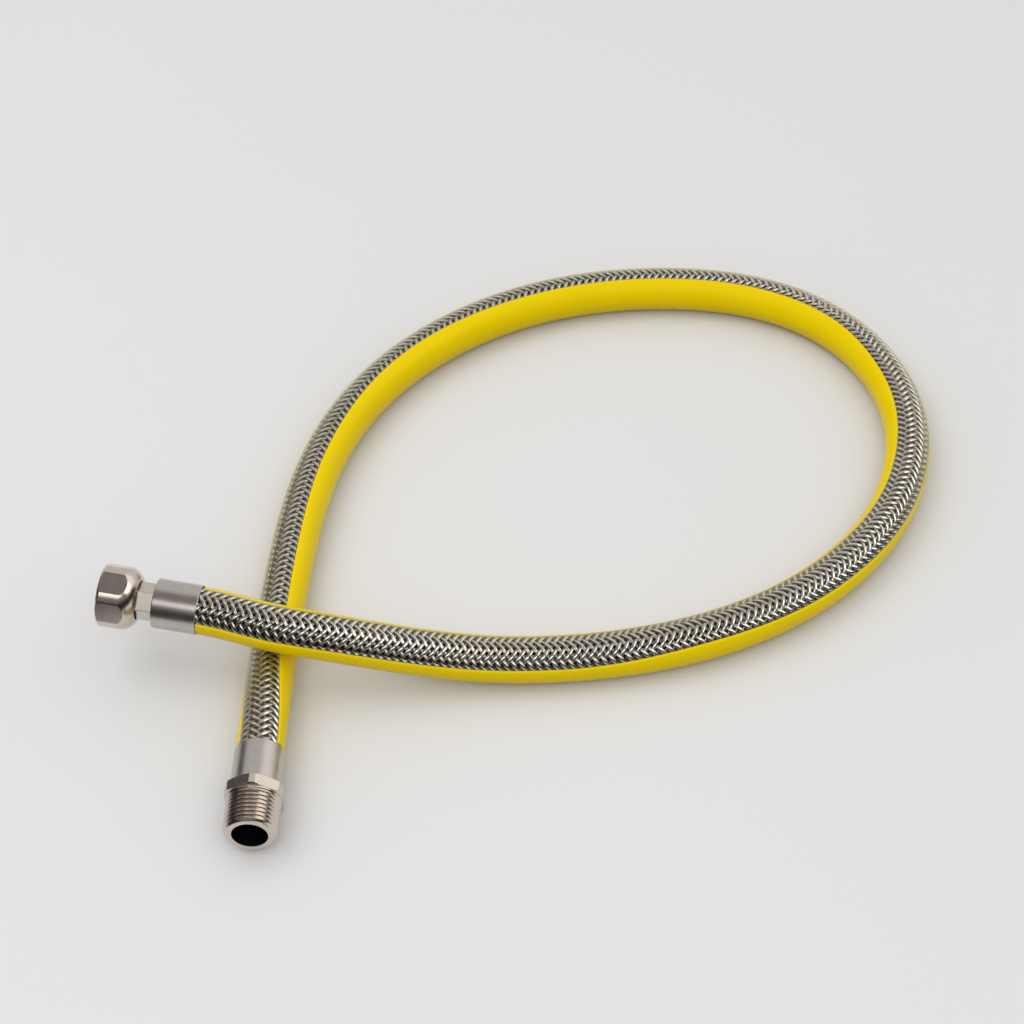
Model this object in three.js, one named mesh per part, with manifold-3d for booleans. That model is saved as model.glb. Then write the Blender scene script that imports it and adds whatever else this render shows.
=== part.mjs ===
// A flexible gas hose about a metre long, lying in one open loop that crosses over itself.
// Millimetres, +Z up. The origin is on the surface that the hose lies on, under the middle
// of its box. One end is a taper-threaded nipple, the other a union nut that spins freely.
import * as THREE from 'three';
import Module from 'manifold-3d';
import { mergeVertices } from 'three/addons/utils/BufferGeometryUtils.js';
import { NURBSCurve } from 'three/addons/curves/NURBSCurve.js';

const wasm = await Module();
wasm.setup();

// Fits
const SEAT_GAP = 0.3; // between solids that touch on the real hose
const SWIVEL_GAP = 0.3; // round the tail and its collar, where the nut turns

// Hose wall, from the outside in
const JACKET_RADIUS = 9.45;
const JACKET_WALL = 0.95;
const BRAID_WALL = 0.8;
const LINER_WALL = 1.6;
const BRAID_RADIUS = JACKET_RADIUS - JACKET_WALL - SEAT_GAP;
const LINER_RADIUS = BRAID_RADIUS - BRAID_WALL - SEAT_GAP;
const LINER_BORE_RADIUS = LINER_RADIUS - LINER_WALL;

// Clear window along the coloured jacket: a strip through which the braid shows
const WINDOW_HALF_ANGLE = THREE.MathUtils.degToRad( 51 );
const WINDOW_SIDES = 3; // flats across the window, of the section's twelve
const COLOURED_SIDES = 9;
const HOSE_STEPS = 40;

// Ferrules: crimped sleeves with an end wall that holds the fitting's neck
const FERRULE_WALL = 1.3;
const FERRULE_LENGTH = 17.8;
const FERRULE_END_WALL = 1.5;
const FERRULE_EDGE = 0.4; // chamfer on the outer edges
const FERRULE_BORE_RADIUS = BRAID_RADIUS + SEAT_GAP;
const FERRULE_RADIUS = FERRULE_BORE_RADIUS + FERRULE_WALL;

// Necks and barbed stems, alike on both fittings
const NECK_RADIUS = 6.2;
const STEM_BORE_RADIUS = 3.8;
const BARB_HEIGHT = 0.5;
const BARB_PITCH = 4;
const BARB_COUNT = 4;

// Nipple: hexagon and R 1/2 taper thread
const NIPPLE_HEX_FLATS = 22;
const NIPPLE_CORNER_RADIUS = 12.1; // the corners are turned down to this
const NIPPLE_HEX_LENGTH = 5;
const THREAD_LENGTH = 15.5;
const THREAD_MAJOR_RADIUS = 10.48; // at the gauge plane
const THREAD_GAUGE_LENGTH = 8.2; // from the front face to the gauge plane
const THREAD_TAPER = 1 / 32; // radius over length
const THREAD_PITCH = 1.814;
const THREAD_DEPTH = 1.16;
const THREAD_ROWS_PER_TURN = 6;
const THREAD_FACE_RADIUS = 9.0; // where the front chamfer starts
const MOUTH_RADIUS = 6.9;
const MOUTH_DEPTH = 14;

// Union nut: hexagon and shoulder outside, G 1/2 thread bore inside
const NUT_HEX_FLATS = 24;
const NUT_CORNER_RADIUS = 12.8; // the corners are turned down to this
const NUT_LENGTH = 14.8;
const NUT_SHOULDER_LENGTH = 5.4; // from the rear lip to the hexagon
const NUT_BULGE_LENGTH = 1.8; // from the rear lip to where the shoulder bends most
const NUT_SHOULDER_STEPS = 4;
const NUT_LIP_WALL = 3; // from the rear lip to the seat inside
const NUT_LIP_RIM = 1.1; // flat ring round the rear opening
const NUT_EDGE = 1.1; // front chamfer
const NUT_BORE_RADIUS = 9.32; // crests of the inside thread
const NUT_BORE_EDGE = 1.0; // mouth chamfer

// Tail: the hexagonal neck and the collar that carry the nut
const TAIL_HEX_FLATS = 13;
const TAIL_EXPOSED_LENGTH = 6.5; // from the ferrule to the nut
const COLLAR_THICKNESS = 2.5;
const COLLAR_RADIUS = NUT_BORE_RADIUS - SWIVEL_GAP;
const TAIL_CORNER_RADIUS = TAIL_HEX_FLATS / Math.sqrt( 3 );
const NUT_LIP_BORE_RADIUS = TAIL_CORNER_RADIUS + SWIVEL_GAP;

// Flat gasket in front of the collar
const GASKET_THICKNESS = 2;
const GASKET_BORE_RADIUS = 6;

const CORNER_CHAMFER = 0.9; // at both ends of a hexagon's turned corners
const OVERRUN = 1; // how far a cut reaches past the face that it opens
const ROUND_SEGMENTS = 36;
const THREAD_SEGMENTS = 24;

// Rolls about the fitting's own axis, from a corner straight up
const NUT_ROLL = THREE.MathUtils.degToRad( - 46 );
const TAIL_ROLL = THREE.MathUtils.degToRad( - 13 );

// Places along a fitting's axis, from the hose's cut end out to the mouth
const FERRULE_FACE = SEAT_GAP + FERRULE_END_WALL;
const FERRULE_RIM = FERRULE_FACE - FERRULE_LENGTH;
const NECK_END = FERRULE_FACE + SEAT_GAP;
const NIPPLE_THREAD_START = NECK_END + NIPPLE_HEX_LENGTH;
const NIPPLE_FACE = NIPPLE_THREAD_START + THREAD_LENGTH;
const NUT_REAR = NECK_END + TAIL_EXPOSED_LENGTH;
const NUT_FACE = NUT_REAR + NUT_LENGTH;
const NUT_SEAT = NUT_REAR + NUT_LIP_WALL;
const COLLAR_REAR = NUT_SEAT + SWIVEL_GAP;
const COLLAR_FACE = COLLAR_REAR + COLLAR_THICKNESS;
const GASKET_REAR = COLLAR_FACE + SEAT_GAP;

// The hose's middle line, from its cut end in the nipple's ferrule to the one in the tail's.
// Heights: FLAT lies on the surface, RAISED is held up by the nipple's hexagon, and the
// long hump near the end passes over the first stretch.
const FLAT = JACKET_RADIUS;
const RAISED = NIPPLE_CORNER_RADIUS;
const ROUTE = [
	[ - 100, - 137.7, RAISED ],
	[ - 100, - 129.5, RAISED ],
	[ - 100, - 116.5, RAISED ],
	[ - 100, - 98, RAISED ],
	[ - 99.8, - 72, FLAT + 0.3 ],
	[ - 99.1, - 43.5, FLAT ],
	[ - 97.4, - 13, FLAT ],
	[ - 93.8, 22.5, FLAT ],
	[ - 84.3, 57.5, FLAT ],
	[ - 66.8, 89.5, FLAT ],
	[ - 41.8, 116, FLAT ],
	[ - 11.8, 136, FLAT ],
	[ 22.2, 148, FLAT ],
	[ 58.2, 152.3, FLAT ],
	[ 94.6, 149.2, FLAT ],
	[ 127.2, 134.2, FLAT ],
	[ 150.4, 106.3, FLAT ],
	[ 161.2, 71, FLAT ],
	[ 157.7, 34, FLAT ],
	[ 143.2, 0.5, FLAT ],
	[ 119.7, - 27, FLAT ],
	[ 89.7, - 48, FLAT ],
	[ 56.2, - 61.3, FLAT ],
	[ 20.2, - 68.6, FLAT ],
	[ - 15.8, - 71.6, 10.5 ],
	[ - 50.4, - 73.5, 18.4 ],
	[ - 78, - 75.4, 27.2 ],
	[ - 99.8, - 74.5, 30.5 ],
	[ - 116.3, - 69.4, 31.25 ],
	[ - 127.8, - 67.4, 31.85 ],
	[ - 136.4, - 66.2, 32.3 ],
	[ - 143.3, - 65.3, 32.7 ],
];
const ROUTE_DEGREE = 3;

// How far the window is turned from straight up towards the outside of the loop,
// as pairs of share of the route and degrees.
const WINDOW_TILTS = [
	[ 0, 3 ],
	[ 0.02, 3 ],
	[ 0.075, 30 ],
	[ 0.2, 34.5 ],
	[ 0.27, 40.5 ],
	[ 0.36, 32 ],
	[ 0.5, 31 ],
	[ 0.553, 23 ],
	[ 0.62, 18 ],
	[ 0.69, 9 ],
	[ 0.755, 2.5 ],
	[ 0.82, 16.5 ],
	[ 0.94, 24 ],
	[ 1, 25 ],
];

// Finishes
const steel = { color: 0xb4aea8, metalness: 1, roughness: 0.32 };
const plated = { color: 0xc4bdb4, metalness: 1, roughness: 0.24 };
const FINISHES = {
	ferrule: steel,
	fitting: plated,
	nut: plated,
	braid: { color: 0xa9a59f, metalness: 0.9, roughness: 0.4 },
	jacket: { color: 0xe0c400, metalness: 0, roughness: 0.3 },
	window: { color: 0xdfe4e2, metalness: 0, roughness: 0.12, transparent: true, opacity: 0.35 },
	liner: { color: 0x17171a, metalness: 0, roughness: 0.8 },
	gasket: { color: 0x24262a, metalness: 0, roughness: 0.7 },
};

// Solids

function solidFrom( geometry ) {

	geometry.deleteAttribute( 'normal' );
	geometry.deleteAttribute( 'uv' );
	const merged = mergeVertices( geometry );
	const mesh = new wasm.Mesh( {
		numProp: 3,
		vertProperties: new Float32Array( merged.attributes.position.array ),
		triVerts: new Uint32Array( merged.index.array ),
	} );
	return new wasm.Manifold( mesh );

}

function meshFrom( name, solid, finish ) {

	const { vertProperties, triVerts } = solid.getMesh();
	const geometry = new THREE.BufferGeometry();
	geometry.setAttribute( 'position', new THREE.BufferAttribute( vertProperties, 3 ) );
	geometry.setIndex( new THREE.BufferAttribute( triVerts, 1 ) );
	geometry.computeVertexNormals();
	const material = new THREE.MeshStandardMaterial( { ...FINISHES[ finish ], flatShading: true } );
	const mesh = new THREE.Mesh( geometry, material );
	mesh.name = name;
	return mesh;

}

// A ring turned from a closed profile of [ radius, place along the axis ], listed clockwise
// when the radius points right and the axis up. The axis is the geometry's Y.
function turned( profile ) {

	const points = profile.map( ( [ radius, along ] ) => new THREE.Vector2( radius, along ) );
	const outline = [ ...points, points[ 0 ] ].reverse();
	return solidFrom( new THREE.LatheGeometry( outline, ROUND_SEGMENTS ) );

}

// A round or six-sided bar along Y, between two places on the axis
function bar( radius, from, to, sides = ROUND_SEGMENTS ) {

	const geometry = new THREE.CylinderGeometry( radius, radius, to - from, sides );
	geometry.translate( 0, ( from + to ) / 2, 0 );
	return solidFrom( geometry );

}

function hexagonBar( acrossFlats, from, to ) {

	return bar( acrossFlats / Math.sqrt( 3 ), from, to, 6 );

}

// A hexagon with its corners turned round and both ends chamfered, open inside for a bore
function turnedHexagon( acrossFlats, cornerRadius, boreRadius, from, to ) {

	const corners = turned( [
		[ boreRadius, from ],
		[ boreRadius, to ],
		[ cornerRadius - CORNER_CHAMFER, to ],
		[ cornerRadius, to - CORNER_CHAMFER / 2 ],
		[ cornerRadius, from + CORNER_CHAMFER / 2 ],
		[ cornerRadius - CORNER_CHAMFER, from ],
	] );
	return hexagonBar( acrossFlats, from, to ).intersect( corners );

}

// The hose: three layers that share one route and one set of section angles

function evenAngles( from, to, sides ) {

	return Array.from( { length: sides + 1 }, ( _, i ) => from + ( to - from ) * i / sides );

}

function arcPoints( radius, angles ) {

	const onUnitRing = ( angle ) => new THREE.Vector2( Math.cos( angle ), Math.sin( angle ) );
	return angles.map( ( angle ) => onUnitRing( angle ).multiplyScalar( radius ) );

}

const WINDOW_ARC = evenAngles( - WINDOW_HALF_ANGLE, WINDOW_HALF_ANGLE, WINDOW_SIDES );
const COLOURED_ARC = evenAngles( WINDOW_HALF_ANGLE, 2 * Math.PI - WINDOW_HALF_ANGLE, COLOURED_SIDES );
const FULL_RING = [ ...WINDOW_ARC.slice( 0, - 1 ), ...COLOURED_ARC.slice( 0, - 1 ) ];
// Half of the widest flat: what is round inside the liner has to fit within its flats
const WIDEST_HALF_SIDE = ( COLOURED_ARC[ 1 ] - COLOURED_ARC[ 0 ] ) / 2;
const BARB_RADIUS = LINER_BORE_RADIUS * Math.cos( WIDEST_HALF_SIDE ) - SEAT_GAP;

// The section's x axis points where the window does, so the frames follow the vertical
// and the window's tilt, and not the bending of the route.
class HoseRoute extends NURBSCurve {

	computeFrenetFrames( segments ) {

		const frames = { tangents: [], normals: [], binormals: [] };
		for ( let i = 0; i <= segments; i ++ ) {

			const tangent = this.getTangentAt( i / segments );
			const outside = new THREE.Vector3( 0, 0, 1 ).cross( tangent ).normalize();
			const normal = tangent.clone().cross( outside );
			const tilt = windowTilt( i / segments );
			normal.multiplyScalar( Math.cos( tilt ) ).addScaledVector( outside, Math.sin( tilt ) );
			frames.tangents.push( tangent );
			frames.normals.push( normal );
			frames.binormals.push( tangent.clone().cross( normal ) );

		}

		return frames;

	}

}

function windowTilt( share ) {

	const next = WINDOW_TILTS.findIndex( ( [ place ], i ) => i > 0 && place >= share );
	const [ fromPlace, fromTilt ] = WINDOW_TILTS[ next - 1 ];
	const [ toPlace, toTilt ] = WINDOW_TILTS[ next ];
	const blend = THREE.MathUtils.smoothstep( share, fromPlace, toPlace );
	return THREE.MathUtils.degToRad( THREE.MathUtils.lerp( fromTilt, toTilt, blend ) );

}

// Evenly spaced knots, repeated at both ends so that the route starts and ends on its points
function hoseRoute() {

	const points = ROUTE.map( ( place ) => new THREE.Vector3( ...place ) );
	const spans = points.length - ROUTE_DEGREE;
	const inner = Array.from( { length: spans + 1 }, ( _, i ) => i / spans );
	const knots = [ ...Array( ROUTE_DEGREE ).fill( 0 ), ...inner, ...Array( ROUTE_DEGREE ).fill( 1 ) ];
	return new HoseRoute( ROUTE_DEGREE, knots, points );

}

function alongRoute( shape, route ) {

	return solidFrom( new THREE.ExtrudeGeometry( shape, { steps: HOSE_STEPS, extrudePath: route } ) );

}

function hoseLayer( route, outerRadius, innerRadius ) {

	const shape = new THREE.Shape( arcPoints( outerRadius, FULL_RING ) );
	shape.holes.push( new THREE.Path( arcPoints( innerRadius, FULL_RING ) ) );
	return alongRoute( shape, route );

}

// One of the jacket's two strips. It stops short of its neighbour by half a seam at each edge,
// and short of both ferrules, which are crimped on the bare braid.
function jacketStrip( route, arc, ferruleSpaces ) {

	const seam = SEAT_GAP / 2 / ( JACKET_RADIUS - JACKET_WALL );
	const angles = [ arc[ 0 ] + seam, ...arc.slice( 1, - 1 ), arc.at( - 1 ) - seam ];
	const inside = arcPoints( JACKET_RADIUS - JACKET_WALL, angles ).reverse();
	const shape = new THREE.Shape( [ ...arcPoints( JACKET_RADIUS, angles ), ...inside ] );
	return ferruleSpaces.reduce( ( strip, space ) => strip.subtract( space ), alongRoute( shape, route ) );

}

// Fittings: each along its own axis, from the hose's cut end at 0 out to the mouth

function ferrule() {

	const edge = FERRULE_EDGE;
	return turned( [
		[ FERRULE_BORE_RADIUS, FERRULE_RIM ],
		[ FERRULE_BORE_RADIUS, SEAT_GAP ],
		[ NECK_RADIUS + SEAT_GAP, SEAT_GAP ],
		[ NECK_RADIUS + SEAT_GAP, FERRULE_FACE ],
		[ FERRULE_RADIUS - edge, FERRULE_FACE ],
		[ FERRULE_RADIUS, FERRULE_FACE - edge ],
		[ FERRULE_RADIUS, FERRULE_RIM + edge ],
		[ FERRULE_RADIUS - edge, FERRULE_RIM ],
	] );

}

// The space that a ferrule and its seating gap take out of the jacket
function ferruleSpace( placing ) {

	const space = bar( JACKET_RADIUS + OVERRUN, FERRULE_RIM - SEAT_GAP, OVERRUN );
	return space.transform( placing.elements );

}

// The barbed stem inside the liner, with the neck that the ferrule's end wall holds
function barbedStem( neckEnd ) {

	const barbs = [];
	for ( let i = 0; i < BARB_COUNT; i ++ ) {

		const front = SEAT_GAP - i * BARB_PITCH;
		barbs.push( [ BARB_RADIUS, front ], [ BARB_RADIUS - BARB_HEIGHT, front - BARB_PITCH ] );

	}

	return turned( [
		[ STEM_BORE_RADIUS, SEAT_GAP - BARB_COUNT * BARB_PITCH ],
		[ STEM_BORE_RADIUS, neckEnd ],
		[ NECK_RADIUS, neckEnd ],
		[ NECK_RADIUS, SEAT_GAP ],
		...barbs,
	] );

}

// The taper thread: a bar of radius 1 whose rings of points are pushed out to the thread's
// surface. The points in the middle of its end faces stay on the axis.
function threadedBar() {

	const rows = Math.ceil( THREAD_LENGTH / THREAD_PITCH * THREAD_ROWS_PER_TURN );
	const geometry = new THREE.CylinderGeometry( 1, 1, THREAD_LENGTH, THREAD_SEGMENTS, rows );
	geometry.translate( 0, THREAD_LENGTH / 2, 0 );
	const places = geometry.attributes.position;
	const place = new THREE.Vector3();
	for ( let i = 0; i < places.count; i ++ ) {

		place.fromBufferAttribute( places, i );
		const radius = threadRadius( Math.atan2( place.x, place.z ), place.y );
		places.setXYZ( i, place.x * radius, place.y, place.z * radius );

	}

	geometry.translate( 0, NIPPLE_THREAD_START, 0 );
	return solidFrom( geometry );

}

// Right-handed: the groove climbs one pitch for each turn from +Z towards +X. It fades in
// over the first pitch, and the front is chamfered at 45 degrees.
function threadRadius( angle, along ) {

	const toFace = THREAD_LENGTH - along;
	const crest = THREAD_MAJOR_RADIUS + ( toFace - THREAD_GAUGE_LENGTH ) * THREAD_TAPER;
	const turns = along / THREAD_PITCH - angle / ( 2 * Math.PI );
	const runOut = THREE.MathUtils.smoothstep( along, 0, THREAD_PITCH );
	const groove = THREAD_DEPTH * runOut * ( 1 - Math.cos( 2 * Math.PI * turns ) ) / 2;
	return Math.min( crest - groove, THREAD_FACE_RADIUS + toFace );

}

function nipple() {

	const inHexagon = NECK_END + NIPPLE_HEX_LENGTH / 2;
	const hexagon = turnedHexagon(
		NIPPLE_HEX_FLATS, NIPPLE_CORNER_RADIUS, STEM_BORE_RADIUS, NECK_END, NIPPLE_THREAD_START,
	);
	const threadRoot = bar( THREAD_FACE_RADIUS, inHexagon, NIPPLE_THREAD_START + THREAD_PITCH / 2 );
	const mouth = bar( MOUTH_RADIUS, NIPPLE_FACE - MOUTH_DEPTH, NIPPLE_FACE + OVERRUN );
	const bore = bar( STEM_BORE_RADIUS, SEAT_GAP, NIPPLE_FACE );
	const outside = threadedBar().add( threadRoot ).subtract( bore ).add( hexagon );
	return outside.add( barbedStem( inHexagon ) ).subtract( mouth );

}

function tail() {

	const inHexagon = NECK_END + TAIL_EXPOSED_LENGTH / 2;
	const bore = bar( STEM_BORE_RADIUS, SEAT_GAP, COLLAR_FACE + OVERRUN );
	const hexagon = hexagonBar( TAIL_HEX_FLATS, NECK_END, COLLAR_REAR + COLLAR_THICKNESS / 2 );
	const collar = bar( COLLAR_RADIUS, COLLAR_REAR, COLLAR_FACE );
	return hexagon.add( collar ).subtract( bore ).add( barbedStem( inHexagon ) );

}

function unionNut() {

	const corner = new THREE.Vector2( NUT_CORNER_RADIUS, NUT_REAR + NUT_SHOULDER_LENGTH );
	const bulge = new THREE.Vector2( NUT_CORNER_RADIUS - NUT_LIP_RIM, NUT_REAR + NUT_BULGE_LENGTH );
	const rim = new THREE.Vector2( NUT_LIP_BORE_RADIUS + NUT_LIP_RIM, NUT_REAR );
	const shoulder = new THREE.QuadraticBezierCurve( corner, bulge, rim ).getPoints( NUT_SHOULDER_STEPS );
	const outline = turned( [
		[ NUT_LIP_BORE_RADIUS, NUT_REAR ],
		[ NUT_LIP_BORE_RADIUS, NUT_SEAT ],
		[ NUT_BORE_RADIUS, NUT_SEAT ],
		[ NUT_BORE_RADIUS, NUT_FACE - NUT_BORE_EDGE ],
		[ NUT_BORE_RADIUS + NUT_BORE_EDGE, NUT_FACE ],
		[ NUT_CORNER_RADIUS - NUT_EDGE, NUT_FACE ],
		[ NUT_CORNER_RADIUS, NUT_FACE - NUT_EDGE ],
		...shoulder.map( ( { x, y } ) => [ x, y ] ),
	] );
	return hexagonBar( NUT_HEX_FLATS, NUT_REAR, NUT_FACE ).intersect( outline );

}

function gasket() {

	const front = GASKET_REAR + GASKET_THICKNESS;
	return turned( [
		[ GASKET_BORE_RADIUS, GASKET_REAR ],
		[ GASKET_BORE_RADIUS, front ],
		[ COLLAR_RADIUS, front ],
		[ COLLAR_RADIUS, GASKET_REAR ],
	] );

}

// Assembly

// The axes of a fitting on one end of the route: Y out along the route's end, Z nearly up
function placingAt( cutEnd, inside ) {

	const origin = new THREE.Vector3( ...cutEnd );
	const outward = origin.clone().sub( new THREE.Vector3( ...inside ) ).normalize();
	const side = outward.clone().cross( new THREE.Vector3( 0, 0, 1 ) ).normalize();
	const up = side.clone().cross( outward );
	return new THREE.Matrix4().makeBasis( side, outward, up ).setPosition( origin );

}

function fittingGroup( placing, meshes ) {

	const group = new THREE.Group();
	group.applyMatrix4( placing );
	group.add( ...meshes );
	return group;

}

function rolled( mesh, angle ) {

	mesh.rotation.y = angle;
	return mesh;

}

const nippleEnd = placingAt( ROUTE[ 0 ], ROUTE[ 1 ] );
const tailEnd = placingAt( ROUTE.at( - 1 ), ROUTE.at( - 2 ) );
const ferruleSpaces = [ ferruleSpace( nippleEnd ), ferruleSpace( tailEnd ) ];
const route = hoseRoute();

const hose = new THREE.Group();
hose.add(
	meshFrom( 'jacket_yellow', jacketStrip( route, COLOURED_ARC, ferruleSpaces ), 'jacket' ),
	meshFrom( 'jacket_clear_window', jacketStrip( route, WINDOW_ARC, ferruleSpaces ), 'window' ),
	meshFrom( 'hose_braid', hoseLayer( route, BRAID_RADIUS, LINER_RADIUS + SEAT_GAP ), 'braid' ),
	meshFrom( 'hose_liner', hoseLayer( route, LINER_RADIUS, LINER_BORE_RADIUS ), 'liner' ),
	fittingGroup( nippleEnd, [
		meshFrom( 'nipple_ferrule', ferrule(), 'ferrule' ),
		meshFrom( 'threaded_nipple', nipple(), 'fitting' ),
	] ),
	fittingGroup( tailEnd, [
		meshFrom( 'tail_ferrule', ferrule(), 'ferrule' ),
		rolled( meshFrom( 'swivel_tail', tail(), 'fitting' ), TAIL_ROLL ),
		meshFrom( 'sealing_gasket', gasket(), 'gasket' ),
		rolled( meshFrom( 'union_nut', unionNut(), 'nut' ), NUT_ROLL ),
	] ),
);

export default hose;
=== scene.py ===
# %% [markdown]
# # Flexible gas hose
# A half-inch gas hose lies in one open loop. From the inside out it has a rubber liner, a braid of
# stainless wire and a plastic jacket, yellow with one clear strip through which the braid shows.
# One end is a threaded nipple, the other a union nut that spins on the hose's tail.
# The imported model comes first. It fixes where every piece belongs.

import math

import bpy
import numpy as np
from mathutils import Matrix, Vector


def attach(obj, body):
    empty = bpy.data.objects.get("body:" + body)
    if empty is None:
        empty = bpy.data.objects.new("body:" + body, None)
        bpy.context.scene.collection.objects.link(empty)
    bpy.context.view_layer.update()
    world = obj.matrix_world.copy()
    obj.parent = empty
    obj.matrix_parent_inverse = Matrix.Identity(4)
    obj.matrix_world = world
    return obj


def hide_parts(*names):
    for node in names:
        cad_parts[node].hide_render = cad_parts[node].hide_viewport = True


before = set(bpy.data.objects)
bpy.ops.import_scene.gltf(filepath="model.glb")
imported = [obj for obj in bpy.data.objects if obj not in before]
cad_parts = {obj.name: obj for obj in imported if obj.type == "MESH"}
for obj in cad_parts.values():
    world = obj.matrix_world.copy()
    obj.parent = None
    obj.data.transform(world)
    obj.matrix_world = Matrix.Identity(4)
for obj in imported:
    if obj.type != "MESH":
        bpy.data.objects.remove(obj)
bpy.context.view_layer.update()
collection = bpy.context.scene.collection
MM = 0.001
print("CAD nodes:", ", ".join(sorted(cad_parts)))

# %% [markdown]
# ## Camera
# The picture was taken from above the near side of the hose with a long lens, which keeps the far
# side of the loop nearly as large as the near side. A camera looks along its own -Z, so a turn of
# 90 degrees less the pitch about X tips it down from the horizon, and a turn about Z swings it.

# %% Place the camera
CAMERA_PLACE = (0.0176, -0.7285, 0.8021)
CAMERA_PITCH = math.radians(47)
CAMERA_YAW = math.radians(2)
FOCAL_LENGTH_PIXELS = 2600
IMAGE_PIXELS = 1024
SENSOR_MM = 36

camera_data = bpy.data.cameras.new("camera")
camera_data.sensor_width = SENSOR_MM
camera_data.lens = SENSOR_MM * FOCAL_LENGTH_PIXELS / IMAGE_PIXELS
camera = bpy.data.objects.new("camera", camera_data)
camera.location = CAMERA_PLACE
camera.rotation_euler = (math.pi / 2 - CAMERA_PITCH, 0, CAMERA_YAW)
collection.objects.link(camera)
bpy.context.scene.camera = camera
print(f"lens {camera_data.lens:.1f} mm, {Vector(CAMERA_PLACE).length:.2f} m from the middle of the floor")

# %% [markdown]
# ## The hose's middle line
# Every layer of the hose follows one line, so the line is drawn once. A NURBS curve of order 4 is
# smooth in its bend as well as in its direction, which is how a stiff hose lies. Its points are the
# part's own route, from the nipple's end to the tail's, in millimetres. Near the tail the line
# climbs in a long low hump, because the hose passes over itself there.

# %% Draw the line and measure it
ROUTE_MM = [
    (-100, -137.7, 12.1), (-100, -129.5, 12.1), (-100, -116.5, 12.1), (-100, -98, 12.1),
    (-99.8, -72, 9.75), (-99.1, -43.5, 9.45), (-97.4, -13, 9.45), (-93.8, 22.5, 9.45),
    (-84.3, 57.5, 9.45), (-66.8, 89.5, 9.45), (-41.8, 116, 9.45), (-11.8, 136, 9.45),
    (22.2, 148, 9.45), (58.2, 152.3, 9.45), (94.6, 149.2, 9.45), (127.2, 134.2, 9.45),
    (150.4, 106.3, 9.45), (161.2, 71, 9.45), (157.7, 34, 9.45), (143.2, 0.5, 9.45),
    (119.7, -27, 9.45), (89.7, -48, 9.45), (56.2, -61.3, 9.45), (20.2, -68.6, 9.45),
    (-15.8, -71.6, 10.5), (-50.4, -73.5, 18.4), (-78, -75.4, 27.2), (-99.8, -74.5, 30.5),
    (-116.3, -69.4, 31.25), (-127.8, -67.4, 31.85), (-136.4, -66.2, 32.3), (-143.3, -65.3, 32.7),
]
LINE_STEP = 0.45 * MM

route = np.array(ROUTE_MM) * MM
curve = bpy.data.curves.new("middle_line", "CURVE")
curve.dimensions = "3D"
spline = curve.splines.new("NURBS")
spline.points.add(len(route) - 1)
for point, place in zip(spline.points, route):
    point.co = (*place, 1)
spline.order_u = 4
spline.use_endpoint_u = True
spline.resolution_u = 40
drawn = bpy.data.meshes.new_from_object(bpy.data.objects.new("middle_line", curve))
drawn_points = np.array([vertex.co for vertex in drawn.vertices])
drawn_along = np.r_[0, np.cumsum(np.linalg.norm(np.diff(drawn_points, axis=0), axis=1))]
HOSE_LENGTH = drawn_along[-1]

line_along = np.linspace(0, HOSE_LENGTH, round(HOSE_LENGTH / LINE_STEP) + 1)
line_points = np.column_stack([
    np.interp(line_along, drawn_along, drawn_points[:, axis]) for axis in range(3)
])
line_tangents = np.gradient(line_points, axis=0)
line_tangents /= np.linalg.norm(line_tangents, axis=1)[:, None]
print(f"the middle line is {HOSE_LENGTH / MM:.1f} mm long and has {len(line_points)} points")

# %% [markdown]
# ## Which way the window faces
# The clear strip doesn't point straight up. As the hose bends, it leans towards the outside of the
# loop by an angle that changes slowly along the way. The lean is read at a few places, given as a
# share of the length and degrees, and blended smoothly between them. Each point of the line then
# knows its own window direction and side direction, which is all that a round layer needs.

# %% Turn the window along the line
WINDOW_LEANS = [
    (0, 3), (0.02, 3), (0.075, 30), (0.2, 34.5), (0.27, 40.5), (0.36, 32), (0.5, 31),
    (0.553, 23), (0.62, 18), (0.69, 9), (0.755, 2.5), (0.82, 16.5), (0.94, 24), (1, 25),
]


def smoothstep(share):
    """Rises from 0 to 1 with a level start and end."""
    return share * share * (3 - 2 * share)


def window_lean(share):
    """The window's lean in radians at a share of the hose's length."""
    places, degrees = zip(*WINDOW_LEANS)
    after = min(max(int(np.searchsorted(places, share)), 1), len(places) - 1)
    blend = (share - places[after - 1]) / (places[after] - places[after - 1])
    return math.radians(degrees[after - 1] + (degrees[after] - degrees[after - 1]) * smoothstep(blend))


leans = np.array([window_lean(along / HOSE_LENGTH) for along in line_along])[:, None]
outside = np.cross([0, 0, 1], line_tangents)
outside /= np.linalg.norm(outside, axis=1)[:, None]
upward = np.cross(line_tangents, outside)
window_way = upward * np.cos(leans) + outside * np.sin(leans)
side_way = np.cross(line_tangents, window_way)
print(f"the window leans {math.degrees(leans.min()):.0f} to {math.degrees(leans.max()):.0f} degrees outwards")

# %% [markdown]
# ## A small language for node trees
# Geometry and material trees are both networks of small sums. Written as Python expressions they
# can be read like formulas, so one class wraps a socket and turns each operator into a Math node.
# Everything else comes from `add`, which takes a node's type, its settings, which are made first,
# and then the values or links of its sockets by name or number.

# %% Wrap sockets in expressions


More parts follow.
